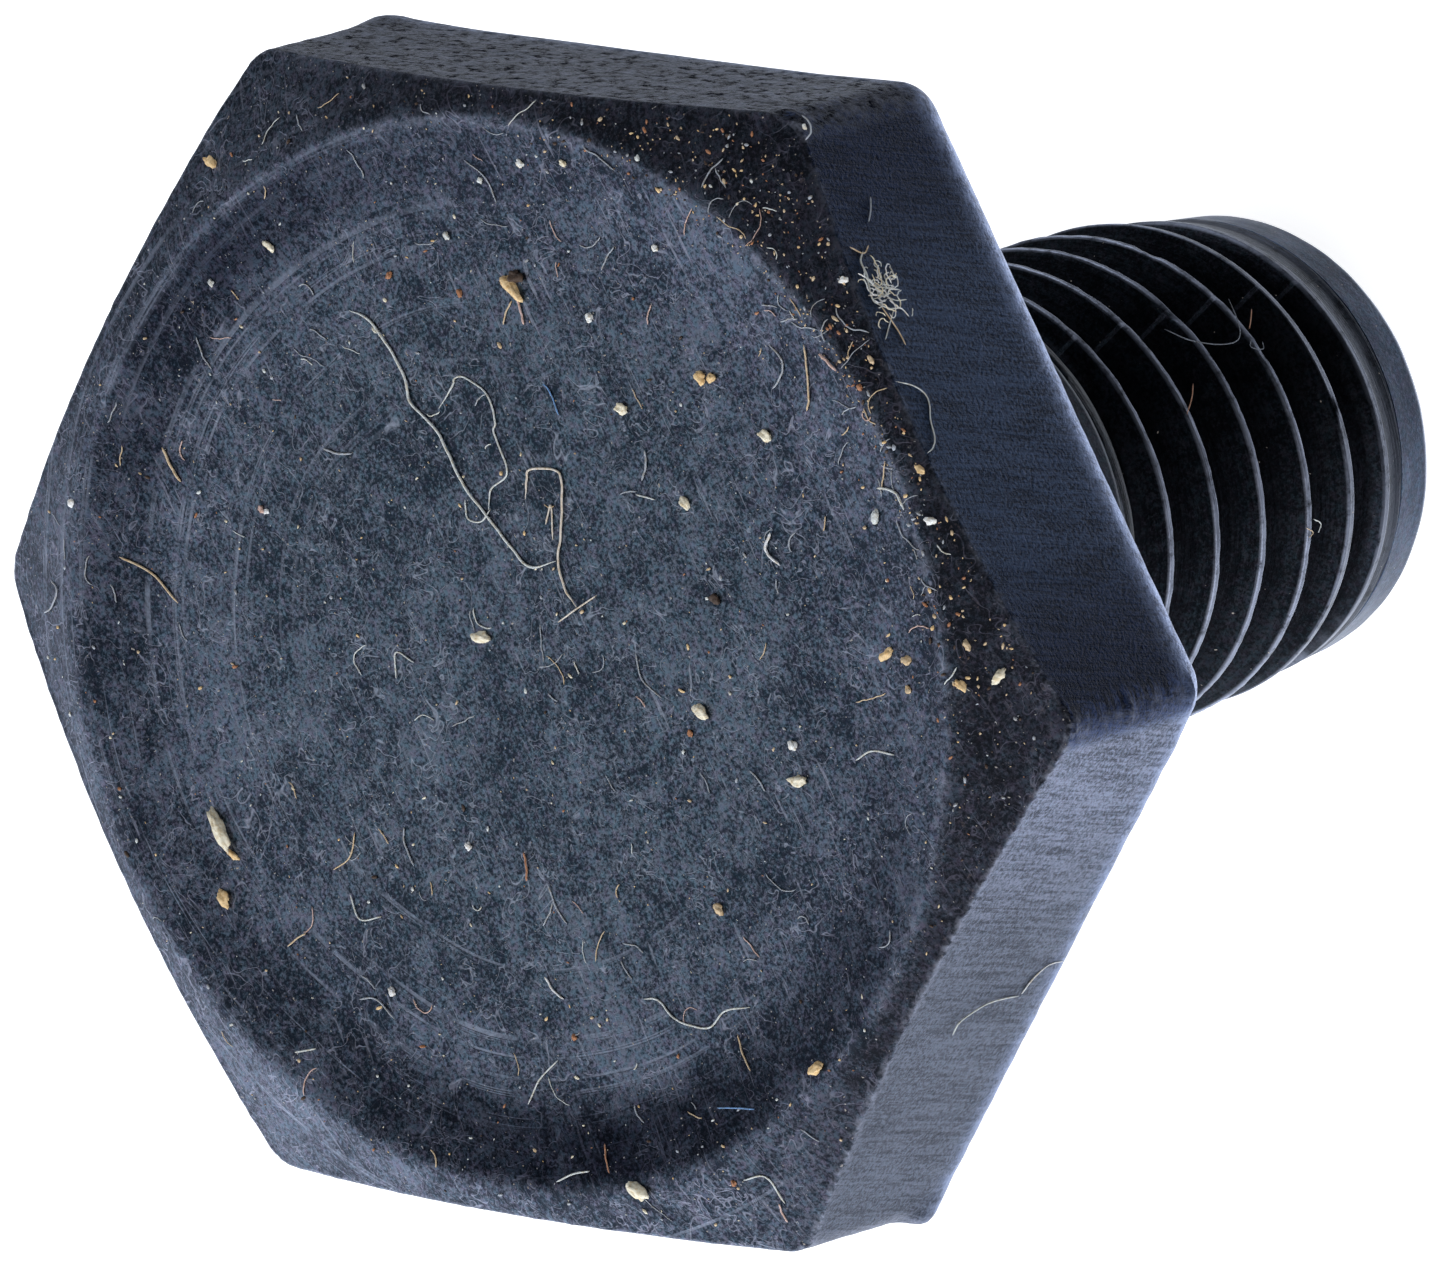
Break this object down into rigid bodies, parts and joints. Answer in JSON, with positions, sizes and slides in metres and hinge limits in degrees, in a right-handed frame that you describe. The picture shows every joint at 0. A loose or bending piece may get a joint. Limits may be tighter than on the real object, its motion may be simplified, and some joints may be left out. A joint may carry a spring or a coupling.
{
  "type": "hex bolt",
  "caption": "Hexagon head bolt with a chamfered head, a short plain neck, a right-hand rolled thread and a chamfered point.",
  "frame": {"origin": "centre of the point's flat end face, on the bolt's axis", "axes": "+Z along the bolt's axis from the point to the head; +Y square to one pair of wrench flats; +X through a pair of the hexagon's corners"},
  "size_m": [0.02, 0.0176, 0.0205],
  "materials": {
    "hex_head": "black oxide, satin, blue-grey, with fine scratches and turning marks",
    "plain_neck": "black oxide, satin",
    "threaded_shank": "black oxide, darker in the grooves, bright worn crests",
    "chamfered_point": "black oxide, smooth satin"
  },
  "bodies": {
    "root": {"hex_head": "hex_head", "plain_neck": "plain_neck", "threaded_shank": "threaded_shank", "chamfered_point": "chamfered_point"}
  },
  "joints": []
}
